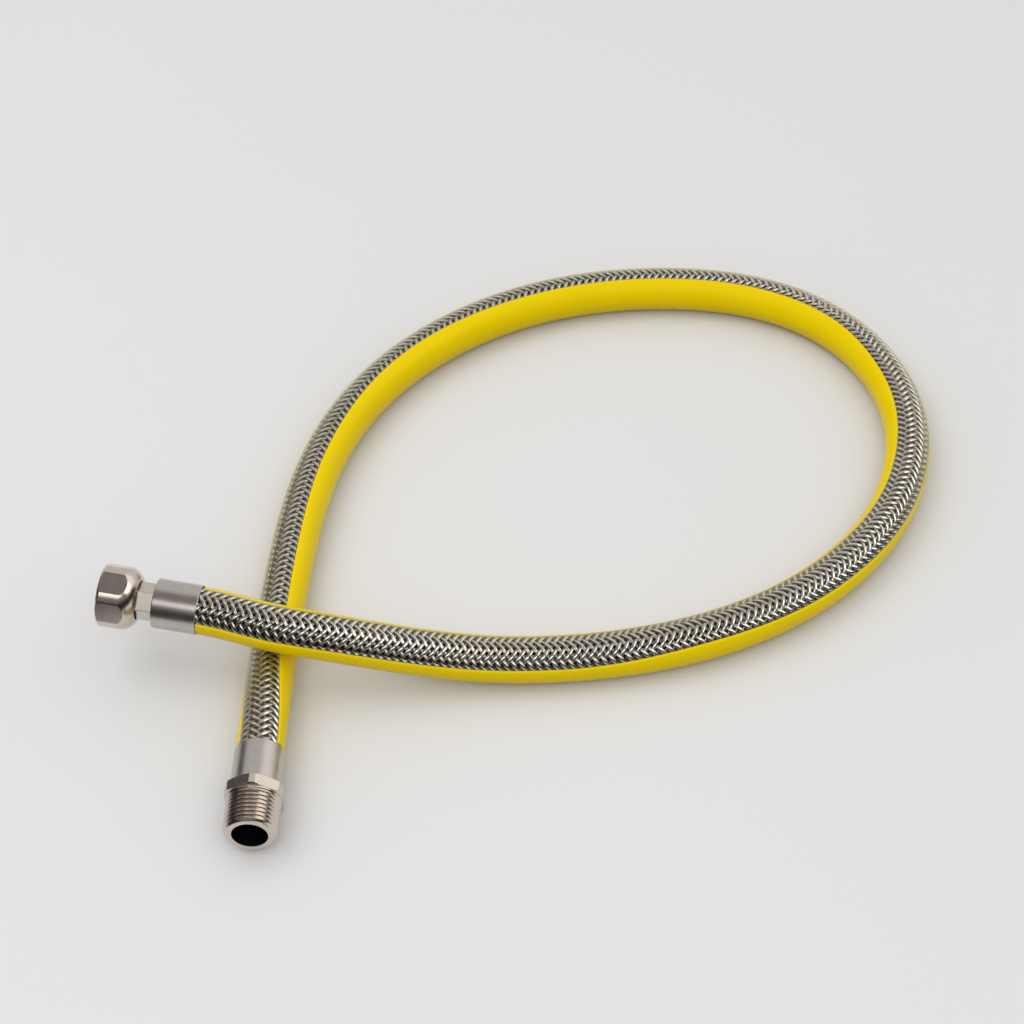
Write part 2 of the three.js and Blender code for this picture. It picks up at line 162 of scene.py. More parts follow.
class Socket:
    """An output socket that can stand in a Python expression."""

    def __init__(self, socket):
        self.socket = socket
        self.tree = socket.id_data

    def math(self, operation, *others):
        return add(self.tree, "ShaderNodeMath", {"operation": operation}, dict(enumerate([self, *others])))

    def __add__(self, other):
        return self.math("ADD", other)

    def __mul__(self, other):
        return self.math("MULTIPLY", other)

    def __sub__(self, other):
        return self.math("SUBTRACT", other)

    def __rsub__(self, other):
        return add(self.tree, "ShaderNodeMath", {"operation": "SUBTRACT"}, {0: other, 1: self})

    def __truediv__(self, other):
        return self.math("DIVIDE", other)

    def __mod__(self, other):
        return self.math("FLOORED_MODULO", other)

    __radd__ = __add__
    __rmul__ = __mul__


def add(tree, kind, settings=None, inputs=None, output=0):
    """Adds a node and returns one of its outputs, as an expression."""
    node = tree.nodes.new(kind)
    for name, value in (settings or {}).items():
        setattr(node, name, value)
    for key, value in (inputs or {}).items():
        if isinstance(value, Socket):
            tree.links.new(value.socket, node.inputs[key])
        else:
            node.inputs[key].default_value = value
    return Socket(node.outputs[output])


def vector_math(operation, *values):
    """Adds a Vector Math node on vectors, of which one at least is an expression."""
    tree = next(value.tree for value in values if isinstance(value, Socket))
    return add(tree, "ShaderNodeVectorMath", {"operation": operation}, dict(enumerate(values)))


def scaled(vector, factor):
    """A vector times a number."""
    return add(vector.tree, "ShaderNodeVectorMath", {"operation": "SCALE"}, {0: vector, "Scale": factor})


def combined(tree, x=0.0, y=0.0, z=0.0):
    """A vector from three numbers or expressions."""
    return add(tree, "ShaderNodeCombineXYZ", None, {0: x, 1: y, 2: z})


def attribute(tree, name, data_type="FLOAT"):
    """A named attribute inside a geometry tree."""
    return add(tree, "GeometryNodeInputNamedAttribute", {"data_type": data_type}, {"Name": name})


print("expressions are ready: 1 - a * b adds two Math nodes")

# %% [markdown]
# ## Running a geometry tree
# A tree gets named inputs for its sizes. The object starts as the middle line itself, a mesh of
# points and edges, each of which carries its distance along the hose and its window direction. The
# modifier's inputs are set by the sockets' identifiers, the evaluated result becomes a plain mesh,
# and the modifier is gone before the piece is used.

# %% Make a piece from a tree
DATA_SOCKETS = {float: "NodeSocketFloat", int: "NodeSocketInt", "material": "NodeSocketMaterial"}


def new_tree(name, input_kinds):
    """A geometry tree with a geometry input and output, and named inputs for its sizes."""
    tree = bpy.data.node_groups.new(name, "GeometryNodeTree")
    tree.interface.new_socket("Geometry", in_out="INPUT", socket_type="NodeSocketGeometry")
    for label, kind in input_kinds.items():
        tree.interface.new_socket(label, in_out="INPUT", socket_type=DATA_SOCKETS[kind])
    tree.interface.new_socket("Geometry", in_out="OUTPUT", socket_type="NodeSocketGeometry")
    group_input = tree.nodes.new("NodeGroupInput")
    return tree, {socket.name: Socket(socket) for socket in group_input.outputs if socket.name}


def end_tree(tree, geometry, material):
    """Shades smooth, makes instances real, sets the material and closes the tree."""
    smooth = add(tree, "GeometryNodeSetShadeSmooth", None, {"Geometry": geometry})
    real = add(tree, "GeometryNodeRealizeInstances", None, {"Geometry": smooth})
    painted = add(tree, "GeometryNodeSetMaterial", None, {"Geometry": real, "Material": material})
    output = tree.nodes.new("NodeGroupOutput")
    tree.links.new(painted.socket, output.inputs[0])


def line_mesh():
    """The middle line as a mesh of points and edges, with its attributes."""
    mesh = bpy.data.meshes.new("middle_line")
    pairs = np.column_stack([np.arange(len(line_points) - 1), np.arange(1, len(line_points))])
    mesh.from_pydata(line_points.tolist(), pairs.tolist(), [])
    mesh.attributes.new("window_way", "FLOAT_VECTOR", "POINT").data.foreach_set("vector", window_way.ravel())
    mesh.attributes.new("line_along", "FLOAT", "POINT").data.foreach_set("value", line_along)
    return mesh


def piece_from_tree(name, tree, **sizes):
    """Runs a tree on the middle line and returns a plain mesh object."""
    draft = bpy.data.objects.new(name + "_draft", line_mesh())
    collection.objects.link(draft)
    modifier = draft.modifiers.new("layer", "NODES")
    modifier.node_group = tree
    for item in tree.interface.items_tree:
        key = item.name.lower().replace(" ", "_")
        if item.in_out == "INPUT" and key in sizes:
            modifier[item.identifier] = sizes[key]
    bpy.context.view_layer.update()
    evaluated = draft.evaluated_get(bpy.context.evaluated_depsgraph_get())
    mesh = bpy.data.meshes.new_from_object(evaluated)
    mesh.name = name
    draft_mesh = draft.data
    bpy.data.objects.remove(draft)
    bpy.data.meshes.remove(draft_mesh)
    piece = bpy.data.objects.new(name, mesh)
    collection.objects.link(piece)
    triangles = sum(len(polygon.vertices) - 2 for polygon in mesh.polygons)
    print(f"{name}: {triangles} triangles")
    return piece


# %% [markdown]
# ## Shader helpers
# A finish starts as one Principled shader. What is the same all over a piece, such as its metalness,
# is set on the shader's own socket. What varies, such as roughness from handling, is an expression
# that is linked to Base Color, Roughness or a Bump node.

# %% Start a finish


def srgb(red, green, blue):
    """A colour picked as 0 to 255, as the linear colour that shaders use."""
    shares = [value / 255 for value in (red, green, blue)]
    return (*[s / 12.92 if s <= 0.04045 else ((s + 0.055) / 1.055) ** 2.4 for s in shares], 1)


def new_finish(name, **sockets):
    """A material with one Principled shader. Returns it, its tree and the shader."""
    material = bpy.data.materials.new(name)
    material.use_nodes = True
    tree = material.node_tree
    shader = tree.nodes["Principled BSDF"]
    for key, value in sockets.items():
        shader.inputs[key.replace("_", " ")].default_value = value
    return material, tree, shader


def surface_value(tree, name, output="Fac"):
    """An attribute of the piece, as a number by default."""
    return add(tree, "ShaderNodeAttribute", {"attribute_name": name}, None, output)


def noise(tree, vector, scale, detail=2.0, roughness=0.5):
    """A noise from 0 to 1."""
    sizes = {"Vector": vector, "Scale": scale, "Detail": detail, "Roughness": roughness}
    return add(tree, "ShaderNodeTexNoise", None, sizes)


def mixed_colours(tree, factor, first, second):
    """Two colours blended by an expression."""
    inputs = {"Factor": factor, 6: first, 7: second}
    return add(tree, "ShaderNodeMix", {"data_type": "RGBA"}, inputs, 2)


def bumped(tree, shader, height, distance, strength=1.0):
    """Links a height, as an expression, to the shader's normal. The distance is in metres."""
    normal = add(tree, "ShaderNodeBump", None, {"Height": height, "Distance": distance, "Strength": strength})
    tree.links.new(normal.socket, shader.inputs["Normal"])


def link(value, shader, key):
    """Links an expression to one of the shader's sockets."""
    value.tree.links.new(value.socket, shader.inputs[key])


print("mid grey as shaders see it:", [round(c, 3) for c in srgb(128, 128, 128)])

# %% [markdown]
# ## The woven braid
# A braiding machine carries twelve plaits round the hose one way and twelve the other way. Each
# plait is a band of parallel wires that passes over two opposing plaits and then under two. The
# machine's carriers swap sides at fixed places round the circle, so each 30 degree sector shows
# plaits of one direction only, and the sectors together make herringbone rows.
# That is a rule, so Geometry Nodes weave it. A straight line is copied once for each plait, wound
# onto the middle line, moved in and out by a wave of the angle, and swept with a ridged section.
# The wave is a sine with flattened tops, so that a plait stays up for most of each float.
# On the real hose the round clear plastic magnifies the braid like a lens. Thin plastic can't do
# that here, so the braid is drawn wider, nearly out to the jacket's outside.

# %% Sizes of the braid
PLAITS = 12
PLAIT_LEAD = 38.4 * MM
BRAID_RADIUS = 8.42 * MM
BRAID_WAVE = 0.36 * MM
WIRES = 4
PLAIT_WIDTH = 1.85 * MM
PLAIT_DOME = 0.36 * MM
WIRE_CREST = 0.06 * MM
PLAIT_BACK = -0.16 * MM
PLAIT_STEP = 0.92 * MM
BRAID_END = 2 * MM
SECTORS = PLAITS // 2

plait_angle = math.degrees(math.atan2(2 * math.pi * BRAID_RADIUS, PLAIT_LEAD))
plait_pitch = PLAIT_LEAD / PLAITS / MM
print(f"plaits run at {plait_angle:.0f} degrees to the hose, {plait_pitch:.2f} mm apart")

# %% Weave the plaits


def braid_tree():
    """The tree that weaves some of the plaits of one direction round the middle line."""
    tree, sizes = new_tree("braid", {
        "Hand": float, "First Angle": float, "Copies": int, "Angle Step": float, "Material": "material",
    })
    line = add(tree, "GeometryNodeMeshToCurve", None, {"Mesh": sizes["Geometry"]})
    inner_length = HOSE_LENGTH - 2 * BRAID_END
    straight = add(tree, "GeometryNodeCurvePrimitiveLine", None, {
        "Start": (0, 0, 0), "End": (inner_length, 0, 0),
    })
    stepped = add(tree, "GeometryNodeResampleCurve", {"mode": "COUNT"}, {
        "Curve": straight, "Count": round(inner_length / PLAIT_STEP),
    })
    copier = tree.nodes.new("GeometryNodeDuplicateElements")
    copier.domain = "SPLINE"
    tree.links.new(stepped.socket, copier.inputs["Geometry"])
    tree.links.new(sizes["Copies"].socket, copier.inputs["Amount"])
    plait_number = Socket(copier.outputs["Duplicate Index"])
    numbered = add(tree, "GeometryNodeStoreNamedAttribute", {"data_type": "FLOAT", "domain": "POINT"}, {
        "Geometry": Socket(copier.outputs["Geometry"]), "Name": "plait", "Value": plait_number,
    })

    travelled = add(tree, "GeometryNodeSplineParameter", None, None, "Length")
    along = travelled + BRAID_END
    start = sizes["First Angle"] + attribute(tree, "plait") * sizes["Angle Step"]
    angle = start + sizes["Hand"] * along * (2 * math.pi / PLAIT_LEAD)
    swing = (angle * SECTORS).math("SINE")
    flattened = swing * (1.5 - 0.5 * swing * swing)
    wave = flattened * sizes["Hand"] * BRAID_WAVE
    sampler = tree.nodes.new("GeometryNodeSampleCurve")
    sampler.mode = "LENGTH"
    sampler.data_type = "FLOAT_VECTOR"
    tree.links.new(line.socket, sampler.inputs["Curves"])
    tree.links.new(attribute(tree, "window_way", "FLOAT_VECTOR").socket, sampler.inputs["Value"])
    tree.links.new(along.socket, sampler.inputs["Length"])
    window = Socket(sampler.outputs["Value"])
    side = vector_math("CROSS_PRODUCT", Socket(sampler.outputs["Tangent"]), window)
    outward = vector_math("ADD", scaled(window, angle.math("COSINE")), scaled(side, angle.math("SINE")))
    place = vector_math("ADD", Socket(sampler.outputs["Position"]), scaled(outward, wave + BRAID_RADIUS))

    over = add(tree, "GeometryNodeStoreNamedAttribute", {"data_type": "FLOAT", "domain": "POINT"}, {
        "Geometry": numbered, "Name": "over", "Value": wave / (2 * BRAID_WAVE) + 0.5,
    })
    kept = add(tree, "GeometryNodeStoreNamedAttribute", {"data_type": "FLOAT_VECTOR", "domain": "POINT"}, {
        "Geometry": over, "Name": "outward", "Value": outward,
    })
    wound = add(tree, "GeometryNodeSetPosition", None, {"Geometry": kept, "Position": place})
    facing = add(tree, "GeometryNodeSetCurveNormal", {"mode": "FREE"}, {
        "Curve": wound, "Normal": attribute(tree, "outward", "FLOAT_VECTOR"),
    })

    flat = add(tree, "GeometryNodeCurvePrimitiveLine", None, {
        "Start": (0, -PLAIT_WIDTH / 2, 0), "End": (0, PLAIT_WIDTH / 2, 0),
    })
    points = add(tree, "GeometryNodeResampleCurve", {"mode": "COUNT"}, {
        "Curve": flat, "Count": 2 * WIRES + 1,
    })
    index = add(tree, "GeometryNodeInputIndex")
    on_crest = index % 2
    from_middle = (index - WIRES).math("ABSOLUTE")
    at_edge = from_middle.math("GREATER_THAN", WIRES - 0.5)
    dome = (1 - from_middle * from_middle * (1 / WIRES ** 2)) * PLAIT_DOME
    height = on_crest * WIRE_CREST + dome + at_edge * PLAIT_BACK
    ridged = add(tree, "GeometryNodeSetPosition", None, {
        "Geometry": points, "Offset": combined(tree, x=height),
    })
    crested = add(tree, "GeometryNodeStoreNamedAttribute", {"data_type": "FLOAT", "domain": "POINT"}, {
        "Geometry": ridged, "Name": "crest", "Value": dome / PLAIT_DOME,
    })
    section = add(tree, "GeometryNodeSetSplineCyclic", None, {"Geometry": crested, "Cyclic": True})
    plaits = add(tree, "GeometryNodeCurveToMesh", None, {
        "Curve": facing, "Profile Curve": section, "Fill Caps": True,
    })
    end_tree(tree, plaits, sizes["Material"])
    return tree


# %% [markdown]
# Stainless wire is bright but not a mirror: each wire carries fine drawing marks along its length
# and no two plaits are equally bright. Where a plait dives under the others, and towards its edges,
# its colour is darkened as painted shade. The tree has stored both: `over` is 1 on top of a float
# and 0 underneath, and `crest` is 1 in the middle of a plait.

# %% Finish the wire
# The third colour is painted shade, for where a plait dives under and towards its edges.
WIRE_GREY, WIRE_WHITE, WIRE_SHADE = srgb(236, 231, 227), srgb(254, 250, 246), srgb(96, 88, 84)
GOLDEN_SHARE = 0.618  # spreads the plaits' numbers evenly over the tones

wire_finish, tree, shader = new_finish("stainless_wire", Metallic=1.0)
place = add(tree, "ShaderNodeTexCoord", None, None, "Object")
plait_tone = (surface_value(tree, "plait") * GOLDEN_SHARE) % 1
stain = noise(tree, place, 900, detail=3)
bright = mixed_colours(tree, plait_tone * 0.35 + stain * 0.65, WIRE_GREY, WIRE_WHITE)
# Painted shade: the wire darkens where a plait dives under the others and towards its edges.
lit_share = surface_value(tree, "over") * 0.7 + surface_value(tree, "crest") * 0.65 - 0.3
lit_share = lit_share.math("MINIMUM", 1.0).math("MAXIMUM", 0.0)
link(mixed_colours(tree, lit_share, WIRE_SHADE, bright), shader, "Base Color")
link(noise(tree, place, 2500) * 0.12 + 0.07, shader, "Roughness")
bumped(tree, shader, noise(tree, place, 5200), 0.02 * MM, 0.4)

# %% Make the braid in two directions
weave = braid_tree()
HALF_PLAITS = PLAITS // 2
ALL_ROUND = 2 * math.pi
braid_pieces = []
for hand, way, first_angle in ((1.0, "right", math.pi / PLAITS), (-1.0, "left", 0.0)):
    for half in range(2):
        braid_pieces.append(piece_from_tree(
            f"braid_{way}_{half + 1}", weave, material=wire_finish, hand=hand, copies=HALF_PLAITS,
            first_angle=first_angle + half * ALL_ROUND / PLAITS, angle_step=ALL_ROUND / HALF_PLAITS,
        ))

# %% [markdown]
# ## The jacket's two strips
# The jacket is one extrusion of two plastics: a yellow one round most of the hose and a clear one
# over the braid. Each strip is a C-shaped section that is swept along the line. The section is made
# from a circle of points: the first half is moved to the outside arc, the second half runs back
# along the inside arc. The braid presses through soft plastic as a very shallow ripple, so the
# outside is moved by a wave that has the braid's own sectors and spacing.

# %% Sizes of the jacket
JACKET_RADIUS = 9.45 * MM
JACKET_WALL = 0.17 * MM
JACKET_STEP = 0.9 * MM
FERRULE_COVER = 16.6 * MM
WINDOW_HALF_ANGLE = math.radians(51)
SEAM = 0.01 * MM
RIPPLE = 0.02 * MM

free_length = HOSE_LENGTH - 2 * FERRULE_COVER
print(f"{free_length / MM:.1f} mm of jacket lies free between the ferrules")

# %% Sweep a strip


def strip_tree():
    """The tree that sweeps one strip of the jacket, from one ferrule to the other."""
    tree, sizes = new_tree("jacket_strip", {
        "From Angle": float, "To Angle": float, "Sides": int, "Material": "material",
    })
    line = add(tree, "GeometryNodeMeshToCurve", None, {"Mesh": sizes["Geometry"]})
    free = add(tree, "GeometryNodeTrimCurve", {"mode": "LENGTH"}, {
        "Curve": line, 4: FERRULE_COVER, 5: HOSE_LENGTH - FERRULE_COVER,
    })
    stepped = add(tree, "GeometryNodeResampleCurve", {"mode": "COUNT"}, {
        "Curve": free, "Count": round(free_length / JACKET_STEP),
    })
    facing = add(tree, "GeometryNodeSetCurveNormal", {"mode": "FREE"}, {
        "Curve": stepped, "Normal": attribute(tree, "window_way", "FLOAT_VECTOR"),
    })

    side_count = sizes["Sides"]
    circle = add(tree, "GeometryNodeCurvePrimitiveCircle", None, {
        "Resolution": side_count * 2 + 2, "Radius": 1.0,
    })
    index = add(tree, "GeometryNodeInputIndex")
    inside = index.math("GREATER_THAN", side_count + 0.5)
    step = index + inside * (side_count * 2 + 1 - index * 2)
    angle = sizes["From Angle"] + (sizes["To Angle"] - sizes["From Angle"]) * step / side_count
    radius = JACKET_RADIUS - inside * JACKET_WALL
    place = combined(tree, angle.math("COSINE") * radius, angle.math("SINE") * radius)
    bent = add(tree, "GeometryNodeSetPosition", None, {"Geometry": circle, "Position": place})
    marked = add(tree, "GeometryNodeStoreNamedAttribute", {"data_type": "FLOAT", "domain": "POINT"}, {
        "Geometry": bent, "Name": "around", "Value": angle,
    })
    outer = add(tree, "GeometryNodeStoreNamedAttribute", {"data_type": "FLOAT", "domain": "POINT"}, {
        "Geometry": marked, "Name": "outer", "Value": 1 - inside,
    })
    strip = add(tree, "GeometryNodeCurveToMesh", None, {
        "Curve": facing, "Profile Curve": outer, "Fill Caps": True,
    })

    around = attribute(tree, "around")
    row = (around * SECTORS).math("SINE")
    slant = attribute(tree, "line_along") * (2 * math.pi * PLAITS / PLAIT_LEAD)
    press = (slant + around * PLAITS * row.math("SIGN")).math("SINE") * row.math("ABSOLUTE")
    way = add(tree, "GeometryNodeInputNormal")
    lift = scaled(way, (press - 1) * attribute(tree, "outer") * (RIPPLE / 2))
    rippled = add(tree, "GeometryNodeSetPosition", None, {"Geometry": strip, "Offset": lift})
    end_tree(tree, rippled, sizes["Material"])
    return tree


# %% [markdown]
# The yellow plastic is glossy and a little waxy. Its shine breaks up over the braid's ripple, and
# handling leaves faint dull patches. The clear plastic is a film over the wires: a Transparent
# shader mixed with a glossy coat by Fresnel keeps the wires crisp. Where the film is seen edge-on it
# turns milky and pale yellow. Partly that is because the light has crossed more of it, and partly it
# is a painted sheen: a lit cream colour that stands for the pale room mirrored at grazing angles.

# %% Finish the two plastics
# The cream colour is partly painted sheen, for the film's edges.
MILK_AND_SHEEN, CLEAR = srgb(222, 208, 146), (0.99, 0.99, 0.97, 1)
MILK_FALL, MILK_SHARE = 2.7, 0.85
MOST_SHINE = 0.5
YELLOW = srgb(244, 214, 0)
YELLOW_DEEP = srgb(240, 208, 0)
YELLOW_SHINE = (1.0, 0.9, 0.4, 1)

yellow_finish, tree, shader = new_finish(
    "yellow_plastic", IOR=1.45, Specular_IOR_Level=0.2, Specular_Tint=YELLOW_SHINE,
)
place = add(tree, "ShaderNodeTexCoord", None, None, "Object")
patches = noise(tree, place, 60, detail=4)
link(mixed_colours(tree, patches, YELLOW, YELLOW_DEEP), shader, "Base Color")
link(noise(tree, place, 180, detail=3) * 0.14 + 0.2, shader, "Roughness")
bumped(tree, shader, noise(tree, place, 1500, detail=3), 0.02 * MM, 0.18)

clear_finish, tree, shader = new_finish("clear_plastic", IOR=1.45, Roughness=0.2)
shader.inputs["Base Color"].default_value = MILK_AND_SHEEN
place = add(tree, "ShaderNodeTexCoord", None, None, "Object")
bumped(tree, shader, noise(tree, place, 700, detail=2), 0.02 * MM, 0.35)
on_outside = surface_value(tree, "outer")
through = add(tree, "ShaderNodeBsdfTransparent", None, {"Color": CLEAR}, "BSDF")
mirror = add(tree, "ShaderNodeBsdfGlossy", None, {"Color": (1, 1, 1, 1), "Roughness": 0.06}, "BSDF")
shine = add(tree, "ShaderNodeFresnel", None, {"IOR": 1.35}) * on_outside
film = add(tree, "ShaderNodeMixShader", None, {0: shine.math("MINIMUM", MOST_SHINE), 1: through, 2: mirror})
edge_on = add(tree, "ShaderNodeLayerWeight", None, {"Blend": 0.5}, "Facing")
# Partly painted sheen: seen edge-on, the film is mixed towards a lit cream colour.
milk_and_sheen = edge_on.math("POWER", MILK_FALL) * MILK_SHARE * on_outside
milky = add(tree, "ShaderNodeMixShader", None, {0: milk_and_sheen, 1: film, 2: Socket(shader.outputs["BSDF"])})
tree.links.new(milky.socket, tree.nodes["Material Output"].inputs["Surface"])

# %% Make the two strips
strips = strip_tree()
yellow_from = WINDOW_HALF_ANGLE + SEAM / JACKET_RADIUS
hose_jacket = piece_from_tree(
    "hose_jacket", strips, sides=32, material=yellow_finish,
    from_angle=yellow_from, to_angle=ALL_ROUND - yellow_from,
)
hose_window = piece_from_tree(
    "hose_window", strips, sides=12, material=clear_finish,
    from_angle=-WINDOW_HALF_ANGLE, to_angle=WINDOW_HALF_ANGLE,
)

# %% [markdown]
# ## Rings into solids
# The liner and all the metal pieces are tubes of some kind, so each one is a stack of closed rings
# whose last ring joins the first one again through the bore. Such a surface has no poles and no
# loose edges. A signed volume tells whether its faces point outwards, and turns them round if not.

# %% Close a stack of rings


def ring_solid(name, rings, finish, **values):
    """A closed solid from rings[ring, point, xyz]. Values are attributes, one number for each point."""
    ring_count, point_count = rings.shape[:2]
    ring, point = np.meshgrid(np.arange(ring_count), np.arange(point_count), indexing="ij")
    next_ring, next_point = (ring + 1) % ring_count, (point + 1) % point_count
    corners = [ring * point_count + point, next_ring * point_count + point,
               next_ring * point_count + next_point, ring * point_count + next_point]
    faces = np.stack(corners, axis=-1).reshape(-1, 4)
    places = rings.reshape(-1, 3)
    a, b, c, d = (places[faces[:, corner]] - places.mean(axis=0) for corner in range(4))
    volume = (np.einsum("ij,ij->i", a, np.cross(b, c)) + np.einsum("ij,ij->i", a, np.cross(c, d))).sum() / 6
    if volume < 0:
        faces = faces[:, ::-1]
    mesh = bpy.data.meshes.new(name)
    mesh.from_pydata(places.tolist(), [], faces.tolist())
    mesh.shade_smooth()
    for key, numbers in values.items():
        kind, field = ("FLOAT_VECTOR", "vector") if numbers.ndim == 3 else ("FLOAT", "value")
        mesh.attributes.new(key, kind, "POINT").data.foreach_set(field, numbers.ravel().astype(np.float32))
    mesh.materials.append(finish)
    piece = bpy.data.objects.new(name, mesh)
    collection.objects.link(piece)
    print(f"{name}: {2 * len(faces)} triangles, {abs(volume) / MM ** 3:.0f} cubic mm")
    return piece


# %% [markdown]
# ## Rubber
# The liner only shows as the dark behind the wires. It is a plain tube along the line. Both rubber
# pieces get the dry, faintly mottled black of moulded rubber.

# %% Finish the rubber and make the liner
LINER_RADIUS = 7.1 * MM
LINER_BORE = 5.5 * MM
LINER_SIDES = 24
LINER_EVERY = 6

rubber_finish, tree, shader = new_finish("black_rubber")
place = add(tree, "ShaderNodeTexCoord", None, None, "Object")
mottle = noise(tree, place, 400, detail=4)
link(mixed_colours(tree, mottle, srgb(20, 20, 21), srgb(38, 37, 36)), shader, "Base Color")
link(mottle * 0.2 + 0.6, shader, "Roughness")
bumped(tree, shader, noise(tree, place, 3000), 0.03 * MM, 0.4)

stations = np.arange(0, len(line_points), LINER_EVERY)
turns = np.linspace(0, ALL_ROUND, LINER_SIDES, endpoint=False)[None, :, None]
round_way = np.cos(turns) * window_way[stations, None] + np.sin(turns) * side_way[stations, None]
centres = line_points[stations, None]
liner_rings = np.concatenate([centres + LINER_RADIUS * round_way, (centres + LINER_BORE * round_way)[::-1]])
hose_liner = ring_solid("liner", liner_rings, rubber_finish)

# %% [markdown]
# ## Turned pieces
# A turned piece is described by its section: places along the axis and radii, in millimetres, as a
# turner would read them from a drawing. Every corner gets a small rounding, because no real edge is
# sharp, with close points on both sides of it so that smooth shading leaves the flats flat.
# Where the piece is a hexagon, the ring's radius is also held inside the hexagon's flats. A soft
# minimum of the two makes the curved edges that a turned hexagon has.

# %% Round a section and turn it
EDGE_ROUND = 0.22
GUARD = 0.03
POINTS_ROUND = 180
EDGE_ANGLES = (-0.9, -0.3, 0.3, 0.9)
EDGE_CLEARANCE = math.radians(1.2)


def curve_place(start, corner, end, share):
    """A place on the curve that leaves the start towards the corner and reaches the end from it."""
    return (1 - share) ** 2 * start + 2 * share * (1 - share) * corner + share * share * end


def eased(section, rounding=EDGE_ROUND):
    """A closed section with each corner rounded. Its columns are along, radius and half flats, in mm."""
    section = np.array(section, float)
    points = []
    for before, corner, after in zip(np.roll(section, 1, axis=0), section, np.roll(section, -1, axis=0)):
        arms = [(arm - corner)[:2] for arm in (before, after)]
        lengths = [max(np.linalg.norm(arm), 1e-9) for arm in arms]
        cuts = [min(rounding, 0.35 * length) for length in lengths]
        start, end = (corner[:2] + arm / length * cut for arm, length, cut in zip(arms, lengths, cuts))
        guards = [corner[:2] + arm / length * min(cut + GUARD, 0.45 * length)
                  for arm, length, cut in zip(arms, lengths, cuts)]
        round_points = [curve_place(start, corner[:2], end, share) for share in (0, 0.3, 0.7, 1)]
        points += [(*place, corner[2]) for place in (guards[0], *round_points, guards[1])]
    return np.array(points)


def finely(section, first, last, step):
    """Splits the spans that lie between two places on the axis into steps, for a thread or a hexagon."""
    points = []
    for here, after in zip(section, np.roll(section, -1, axis=0)):
        inside = first - 1e-6 <= min(here[0], after[0]) and max(here[0], after[0]) <= last + 1e-6
        count = max(1, math.ceil(abs(after[0] - here[0]) / step)) if inside else 1
        points += [here + (after - here) * share for share in np.arange(count) / count]
    return np.array(points)


def hexagon_radius(angles, half_flats, roll):
    """The distance from the axis to a hexagon's flats, with a corner at the roll angle."""
    from_flat = (angles - roll) % (math.pi / 3) - math.pi / 6
    return half_flats / np.cos(from_flat)


def soft_minimum(first, second, softness=0.03):
    """The smaller of two radii, with the edge where they meet rounded."""
    blend = np.clip(0.5 + (second - first) / (2 * softness), 0, 1)
    return second + (first - second) * blend - softness * blend * (1 - blend)


print("a soft minimum of 12.0 and 12.1:", round(float(soft_minimum(12.0, 12.1)), 3))

# %% [markdown]
# A fitting is drawn along its own axis, from the hose's cut end at 0 out to the mouth, and is then
# placed on the end of the route. Its own axes are side, out and up, so an angle of 0 points up.
# Each point also keeps its own place in millimetres, so turning marks run round the piece's own
# axis wherever the piece lies.

# %% Place a turned piece on an end of the hose
PLAIN = 99.0


def end_axes(cut_end, inside):
    """The origin and the side, out and up directions at one end of the route."""
    out = (cut_end - inside) / np.linalg.norm(cut_end - inside)
    side = np.cross(out, [0, 0, 1])
    side /= np.linalg.norm(side)
    return cut_end, side, out, np.cross(side, out)


def ring_angles(section, roll):
    """Even angles, and close ones on both sides of each edge between a flat and a turned corner."""
    even = np.linspace(0, ALL_ROUND, POINTS_ROUND, endpoint=False)
    hexagon = section[section[:, 2] < PLAIN]
    if not len(hexagon):
        return even
    reach = math.acos(min(1.0, hexagon[0, 2] / hexagon[:, 1].max()))
    flats = roll + math.pi / 6 + np.arange(6) * math.pi / 3
    edges = (np.concatenate([flats - reach, flats + reach]) % ALL_ROUND)[:, None]
    near = (edges + np.radians(EDGE_ANGLES)).ravel() % ALL_ROUND
    from_edge = np.abs((even[:, None] - edges.ravel() + math.pi) % ALL_ROUND - math.pi).min(axis=1)
    clear = from_edge > EDGE_CLEARANCE
    return np.unique(np.concatenate([even[clear], near]).round(5))


def turned_piece(name, section, axes, finish, roll=0.0, groove=None, bore=0.0):
    """A turned solid. The groove is a function of along, angle and radius that gives a depth in mm."""
    angles = ring_angles(section, roll)
    along, radius, half_flats = (section[:, column, None] for column in range(3))
    radii = soft_minimum(radius, hexagon_radius(angles[None], half_flats, roll))
    depth = np.zeros_like(radii) if groove is None else groove(along, angles[None], radius)
    radii = radii - depth
    own_place = np.stack([radii * np.sin(angles), along + 0 * radii, radii * np.cos(angles)], axis=-1)
    origin, side, out, up = axes
    rings = origin + MM * (own_place @ np.array([side, out, up]))
    in_bore = np.broadcast_to(radius < bore + 0.05, radii.shape).astype(float)
    return ring_solid(name, rings, finish, own_place=own_place, groove=np.abs(depth), in_bore=in_bore)


nipple_end = end_axes(route[0], route[1])
tail_end = end_axes(route[-1], route[-2])
print("the nipple points", nipple_end[2].round(3), "and the tail", tail_end[2].round(3))

# %% [markdown]
# ## Metal finishes
# The ferrules are drawn stainless sleeves with fine lines along them. The fittings are turned steel
# with a nickel plating: smoother, a little warmer, and with faint rings from the lathe. The bottom
# of a thread takes an even, faintly pinkish tone, the more so the deeper it is, and the bores are
# dull and dark.

# %% Make the metals
THREAD_ROOT_TINT, BORE_DARK = srgb(214, 201, 192), srgb(40, 38, 37)


